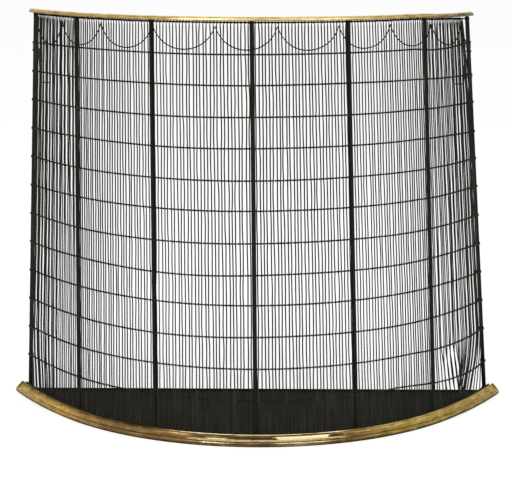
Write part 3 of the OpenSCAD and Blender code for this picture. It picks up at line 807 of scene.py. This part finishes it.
class FIRE_GUARD_OT_top_rail(bpy.types.Operator):
    """Spins the half-round brass rail along the top of the bow"""

    bl_idname = "fire_guard.top_rail"
    bl_label = "Top Rail"

    def execute(self, context):
        low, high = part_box("top_rail")
        rise = (high.z - low.z) / MM
        centre = (ROD_OUT - 2 * WIRE_R) / 4
        back, front = centre - RAIL_HALF, centre + RAIL_HALF
        crown = [(centre + RAIL_HALF * cosine(a), RAIL_Z + RAIL_EDGE + (rise - RAIL_EDGE) * sine(a))
                 for a in range(0, 181, RAIL_STEP)]
        outline = [(back + RAIL_CHAMFER, RAIL_Z), (front - RAIL_CHAMFER, RAIL_Z),
                   (front, RAIL_Z + RAIL_CHAMFER), *crown, (back, RAIL_Z + RAIL_CHAMFER)]
        piece = swept_piece("brass_top_rail", outline, TOP_ROD_Z, turn_past(RAIL_PAST, TOP_ROD_Z))
        # Bands from the underside up, at the ends and along the middle: painted shade on the underside
        # and a painted highlight on the crown, brightest along the middle
        ends = ((0, 0.22), (1.4, 0.38), (3.2, 0.55), (5, 0.42), (6.2, 0.7), (rise, 0.9))
        middle = ((0, 0.3), (1.3, 0.48), (2.4, 0.76), (5, 0.78), (5.9, 0.5), (6.5, 0.8), (rise, 1.0))
        ends, middle = ([(RAIL_Z + z, polish_and_painted_light) for z, polish_and_painted_light in bands] for bands in (ends, middle))
        # Stretch, at X in millimetres, where the middle bands with their brighter painted highlight take
        # over
        rubbed = [(-160, 0), (-130, 1), (150, 1), (185, 0)]
        look = context.scene.guard_colours
        tints = [(0.0, look.brass_grey), (0.05, look.brass_pale), (0.6, look.brass_pale),
                 (0.84, look.brass_pale), (0.94, look.brass_grey), (1.0, look.brass_grey)]
        settle_rail(piece)
        brass = aged_brass("old_rolled_brass_rail", ends, [(middle, rubbed)], tints)
        finish_piece(piece, brass, "brass", "guard", "top_rail")
        return {"FINISHED"}


def settle_rail(piece):
    """Lowers the right end of the rail"""
    for vertex in piece.data.vertices:
        for side in (0, 1):
            x, y = arc_centre(TOP_ROD_Z, side)
            turn = math.degrees(math.atan2(vertex.co.x - x * MM, y * MM - vertex.co.y))
            if side or turn <= FRONT_TURN:
                break
        vertex.co.z -= between(RAIL_SETTLED, turn) * MM


# How far the rod goes past the end posts, in millimetres, and its steps to each side
ROD_PAST, ROD_STEPS = 1.0, 120
# The right end post has a swelled eye round the rod, and a tenon that shows between it and the rail:
# height from the rod, and thickness to the post's
POST_HEAD = ((-5.5, 1.0), (-3.6, 1.03), (-2.2, 1.1), (0, 1.128), (1.6, 1.07), (2.7, 0.89),
             (2.75, 0.72), (8.0, 0.72))


class FIRE_GUARD_OT_settled_corner(bpy.types.Operator):
    """Builds the top rod and the right end post, which have settled a little with the rail"""

    bl_idname = "fire_guard.settled_corner"
    bl_label = "Settled Corner"

    def execute(self, context):
        iron = bpy.data.materials["blackened_wrought_iron"]
        reach = turn_past(END_POST_R + ROD_PAST, TOP_ROD_Z)
        turns = [reach * i / ROD_STEPS for i in range(-ROD_STEPS, ROD_STEPS + 1)]
        path = [on_bow(turn, TOP_ROD_Z - settled(turn), ROD_OUT) for turn in turns]
        rod = wire_piece("settled_top_rod", [path], 2 * ROD_R * MM, sides=12)
        finish_piece(rod, iron, "blackened_iron", "guard", "top_rod")
        foot = on_bow(END_TURN, PLATE_T, WIRE_R - END_POST_R)
        head = on_bow(END_TURN, TOP_ROD_Z, WIRE_R - END_POST_R)
        top = TOP_ROD_Z - settled(END_TURN)
        path, shares = [foot, foot.lerp(head, 0.5)], [1.0, 1.0]
        for height, share in POST_HEAD:
            path.append(foot.lerp(head, (top + height - PLATE_T) / (TOP_ROD_Z - PLATE_T)))
            shares.append(share)
        post = wire_piece("settled_end_post", [path], 2 * END_POST_R * MM, 24, shares)
        finish_piece(post, iron, "blackened_iron", "guard", "post_7")
        return {"FINISHED"}


class FIRE_GUARD_OT_base_moulding(bpy.types.Operator):
    """Spins the beaded and hollowed brass moulding along the front of the tray"""

    bl_idname = "fire_guard.base_moulding"
    bl_label = "Base Moulding"

    def execute(self, context):
        # The section in millimetres, from the floor up: a skirt, a round lip, a cove, a step and a bead
        back, lip_out, lip_h, lip_r = 3.3, 17.28, 5.0, 3.2
        skirt_h, skirt_t, skirt_round = 4.8, 3.0, 0.6
        bead_r, cove_r, step_h, top = 1.0, 14.0, 1.2, 18.5
        bead = (back + bead_r, top - bead_r)
        step_foot = Vector((bead[0] + bead_r, top - 2 * bead_r - step_h))
        shoulder = Vector((lip_out - lip_r, lip_h + lip_r))
        chord = shoulder - step_foot
        half = chord.length / 2
        slope = math.degrees(math.atan2(chord.y, chord.x))
        hollow = (step_foot + shoulder) / 2 \
            + math.sqrt(cove_r ** 2 - half ** 2) * Vector((-sine(slope), cosine(slope)))
        spread = math.degrees(math.asin(half / cove_r))
        outline = [(back, skirt_h), (lip_out - skirt_t, skirt_h), (lip_out - skirt_t, 0.0),
                   (lip_out - skirt_round, 0.0), (lip_out, 1.0)]
        outline += arc_points((lip_out - lip_r, lip_h), lip_r, 0, 90, steps=10)
        outline += arc_points(hollow, cove_r, slope - 90 + spread, slope - 90 - spread, steps=12)
        outline += arc_points(bead, bead_r, -60, 90, steps=8)
        outline.append((back, top))
        # The tails end a millimetre before the tray's back edge
        short = arc_centre(PLATE_T, 1)[1] - (cad_high.y / MM - 1.0)
        tail = math.degrees(math.acos(short / (BASE_SIDE_R + back)))
        piece = swept_piece("brass_base_moulding", outline, PLATE_T, tail)
        # Bands from the floor up: at the ends, on the left, along the middle and in two bright places.
        # All of them have painted shade at the foot; the middle has a painted dark reflection in the
        # cove and painted highlights on the cove's edges and the bead; the two bright places are painted
        # glints
        ends = [(0.0, 0.02), (2.6, 0.06), (4.0, 0.3), (5.2, 0.42), (9.0, 0.5), (12.0, 0.5),
                (15.0, 0.54), (15.6, 0.44), (16.6, 0.44), (17.4, 0.58), (18.5, 0.62)]
        left = [(0.0, 0.03), (2.2, 0.08), (3.2, 0.34), (5.0, 0.42), (8.0, 0.52), (10.0, 0.58),
                (12.0, 0.48), (14.5, 0.36), (15.6, 0.22), (17.0, 0.2), (18.5, 0.26)]
        middle = [(0.0, 0.02), (1.5, 0.05), (2.3, 0.3), (3.3, 0.3), (4.2, 0.08), (5.2, 0.1), (6.0, 0.5),
                  (6.9, 0.5), (7.5, 0.15), (8.1, 0.2), (8.5, 1.0), (10.3, 1.0), (10.8, 0.1), (14.6, 0.0),
                  (15.0, 0.6), (15.5, 0.5), (15.9, 0.0), (17.0, 0.05), (17.3, 0.9), (18.5, 1.0)]
        # Painted shade at the foot and painted highlights on the lip, shared by the two painted glints
        lip = [(0.0, 0.05), (1.5, 0.1), (2.3, 0.5), (3.3, 0.5), (4.2, 0.12), (5.2, 0.2), (5.8, 0.8),
               (6.9, 0.85), (7.4, 0.3), (8.1, 0.4), (8.6, 1.0)]
        # Painted highlight on the bead
        crest = [(17.0, 0.2), (17.7, 0.9), (18.5, 1.0)]
        painted_highlight_right = lip + [(14.0, 1.0), (14.8, 0.6), (15.3, 0.15)] + crest
        painted_highlight_left = lip + [(11.4, 0.95), (12.2, 0.25), (14.8, 0.3), (15.3, 0.1)] + crest
        layers = [(left, [(-190, 1), (-150, 0)]),
                  (middle, [(-125, 0), (-95, 1), (135, 1), (165, 0)]),
                  (painted_highlight_left, [(-96, 0), (-82, 1), (-50, 1), (-36, 0)]),
                  (painted_highlight_right, [(24, 0), (36, 1), (118, 1), (134, 0)])]
        look = context.scene.guard_colours
        tints = [(0.0, look.brass_olive), (0.07, look.brass_gold), (0.13, look.brass_gold),
                 (0.2, look.brass_brown), (0.45, look.brass_brown), (0.7, look.brass_brown),
                 (0.78, look.brass_olive), (1.0, look.brass_olive)]
        brass = aged_brass("old_rolled_brass_moulding", ends, layers, tints)
        finish_piece(piece, brass, "brass", "guard", "base_moulding")
        return {"FINISHED"}


# The middle of a binding's top turn lies this far under its row, in millimetres; it has a pitch, a
# play on the post, and steps for each turn
COIL_BELOW, COIL_PITCH, COIL_PLAY, COIL_STEPS = 1.9, 1.7, 0.05, 28
# Its ends go on for a few steps and are tucked in, and its turns wander out and up
COIL_ENDS, COIL_TUCK, COIL_OUT_SWAY, COIL_UP_SWAY = 4, 2.5, 0.06, 0.12
# Its loose turns bulge by a share that wanders
BULGE_MEAN, BULGE_SWAY = 0.7, 0.3


def coil_path(side, row, turns, wire_r, loose):
    """Path of a binding round an end post; loose is how far its turns bulge towards the wires"""
    top = laced_z(row, side * END_TURN) - COIL_BELOW
    coil_r = END_POST_R + wire_r + COIL_PLAY
    path = []
    for i in range(-COIL_ENDS, turns * COIL_STEPS + COIL_ENDS + 1):
        spin = i / COIL_STEPS
        past = max(0.0, -spin, spin - turns)
        radius = coil_r - min(past * COIL_TUCK, wire_r)
        radius += COIL_OUT_SWAY * wander(row * 3 + side, spin * 3)
        z = top - COIL_PITCH * (turns - min(max(spin, 0), turns))
        z += COIL_UP_SWAY * wander(row + side * 5, spin * 2)
        post = on_bow(side * END_TURN, z, WIRE_R - END_POST_R)
        # It starts behind the post, towards the outer side
        angle = math.radians(90 - 60 * side + 360 * spin)
        bulge = max(0.0, -side * math.cos(angle)) ** 2 * min(1.0, spin * 2, (turns - spin) * 2)
        radius += loose * max(0.0, bulge) * (BULGE_MEAN + BULGE_SWAY * wander(row * 11, spin * 5))
        path.append(post + Vector((math.cos(angle), math.sin(angle), 0)) * radius * MM)
    return path


class FIRE_GUARD_OT_bindings(bpy.types.Operator):
    """Winds the rusty binding wires round the end posts"""

    bl_idname = "fire_guard.bindings"
    bl_label = "Bindings"

    def execute(self, context):
        sizes, look = context.scene.guard_sizes, context.scene.guard_colours
        finish = rusty_wire("rusted_binding_wire", look.rust, look.iron)
        wire_r = sizes.binding_d / MM / 2
        for name, node, side, row, turns, loose in (
                ("bound_wire_left", "binding_left", -1, 1, 5, 0.6),
                ("bound_wire_right", "binding_right", 1, 1, 5, 4.0),
                ("bound_wire_low_right", "low_binding_right", 1, 2, 3, 1.5)):
            piece = wire_piece(name, [coil_path(side, row, turns, wire_r, loose)], sizes.binding_d, 8)
            finish_piece(piece, finish, "rusty_iron", "guard", node)
        return {"FINISHED"}


def area_lamp(name, place, target, size, power):
    """A soft square lamp that faces a point"""
    lamp = bpy.data.lights.new(name, "AREA")
    lamp.size, lamp.energy = size, power
    lamp_object = link_new(name, lamp)
    lamp_object.location = place
    lamp_object.rotation_euler = (Vector(target) - Vector(place)).to_track_quat("-Z", "Y").to_euler()


def background_rays(tree):
    """Adds nodes that give 1 for rays that see the background, also mirrored or through glass"""
    path = add(tree, "LightPath")
    seen = path.outputs["Is Camera Ray"]
    for ray in ("Is Glossy Ray", "Is Transmission Ray"):
        seen = add(tree, "Math", {"operation": "ADD", "use_clamp": True}, input0=seen,
                   input1=path.outputs[ray]).outputs[0]
    return seen


class FIRE_GUARD_OT_stage(bpy.types.Operator):
    """Sets the pale floor, the soft lamps and the camera of the photograph"""

    bl_idname = "fire_guard.stage"
    bl_label = "Stage"

    def execute(self, context):
        look = context.scene.guard_colours
        shape = bmesh.new()
        bmesh.ops.create_grid(shape, x_segments=2, y_segments=2, size=40.0)
        mesh = bpy.data.meshes.new("studio_floor")
        shape.to_mesh(mesh)
        shape.free()
        floor = link_new("studio_floor", mesh)
        material = bpy.data.materials.new("matt_white_floor")
        material.use_nodes = True
        tree = material.node_tree
        tree.nodes.clear()
        matt = add(tree, "BsdfDiffuse", {"Color": (*look.floor, 1)})
        glow = add(tree, "Emission", {"Color": (1, 1, 1, 1), "Strength": 0.34})
        black = add(tree, "Emission", {"Strength": 0.0})
        lift = add(tree, "MixShader", Fac=background_rays(tree), input1=black.outputs[0],
                   input2=glow.outputs[0])
        whole = add(tree, "AddShader", input0=matt.outputs[0], input1=lift.outputs[0])
        add(tree, "OutputMaterial", Surface=whole.outputs[0])
        floor.data.materials.append(material)

        world = bpy.data.worlds.new("studio_world")
        context.scene.world = world
        world.use_nodes = True
        tree = world.node_tree
        tree.nodes.clear()
        soft = add(tree, "Background", {"Color": (1, 1, 1, 1), "Strength": 0.7})
        white = add(tree, "Background", {"Color": (1, 1, 1, 1), "Strength": 1.0})
        mixed = add(tree, "MixShader", Fac=background_rays(tree), input1=soft.outputs[0],
                    input2=white.outputs[0])
        add(tree, "OutputWorld", Surface=mixed.outputs[0])

        area_lamp("key_softbox", (-1.6, -2.2, 2.6), (0, 0, 0.35), size=1.6, power=32.0)
        area_lamp("fill_softbox", (2.0, -1.6, 1.8), (0, 0, 0.3), size=1.6, power=14.0)

        # The lens and place were found from the outline, the rows and the posts in the photograph
        place, focal_px, frame_px = (0.0203, -2.6887, 0.8728), 1539.1, 512
        pitch, yaw, roll = 0.1994, -0.0082, 0.0027
        camera = bpy.data.cameras.new("photo_camera")
        camera.sensor_fit = "HORIZONTAL"
        camera.sensor_width = 36.0
        camera.lens = focal_px / frame_px * camera.sensor_width
        camera.clip_end = 100.0
        ahead = Vector((math.sin(yaw) * math.cos(pitch), math.cos(yaw) * math.cos(pitch),
                        -math.sin(pitch)))
        right = Vector((math.cos(yaw), -math.sin(yaw), 0))
        up = right.cross(ahead)
        right, up = (math.cos(roll) * right + math.sin(roll) * up,
                     math.cos(roll) * up - math.sin(roll) * right)
        turned = Matrix((right, up, -ahead)).transposed()
        camera_object = link_new("photo_camera", camera)
        camera_object.matrix_world = Matrix.Translation(place) @ turned.to_4x4()
        context.scene.camera = camera_object
        context.scene.view_settings.view_transform = "Standard"
        return {"FINISHED"}


class FIRE_GUARD_PT_panel(bpy.types.Panel):
    """Lists the sizes, the colours and the pieces of the fire guard"""

    bl_idname = "FIRE_GUARD_PT_panel"
    bl_label = "Fire Guard"
    bl_space_type = "VIEW_3D"
    bl_region_type = "UI"
    bl_category = "Fire Guard"

    def draw(self, context):
        for group in (context.scene.guard_sizes, context.scene.guard_colours):
            box = self.layout.box()
            for name in group.__annotations__:
                box.prop(group, name)
        for operator in OPERATORS:
            self.layout.operator(operator.bl_idname)


OPERATORS = (FIRE_GUARD_OT_iron_frame, FIRE_GUARD_OT_upright_wires, FIRE_GUARD_OT_cross_wires,
             FIRE_GUARD_OT_swag_wire, FIRE_GUARD_OT_top_rail, FIRE_GUARD_OT_settled_corner,
             FIRE_GUARD_OT_base_moulding, FIRE_GUARD_OT_bindings, FIRE_GUARD_OT_stage)
CLASSES = (GuardSizes, GuardColours, *OPERATORS, FIRE_GUARD_PT_panel)


def register():
    for each in CLASSES:
        bpy.utils.register_class(each)
    bpy.types.Scene.guard_sizes = bpy.props.PointerProperty(type=GuardSizes)
    bpy.types.Scene.guard_colours = bpy.props.PointerProperty(type=GuardColours)


def unregister():
    del bpy.types.Scene.guard_colours
    del bpy.types.Scene.guard_sizes
    for each in reversed(CLASSES):
        bpy.utils.unregister_class(each)


def main():
    register()
    bpy.ops.fire_guard.iron_frame()
    bpy.ops.fire_guard.upright_wires()
    bpy.ops.fire_guard.cross_wires()
    bpy.ops.fire_guard.swag_wire()
    bpy.ops.fire_guard.top_rail()
    bpy.ops.fire_guard.settled_corner()
    bpy.ops.fire_guard.base_moulding()
    bpy.ops.fire_guard.bindings()
    bpy.ops.fire_guard.stage()


if __name__ == "__main__":
    main()
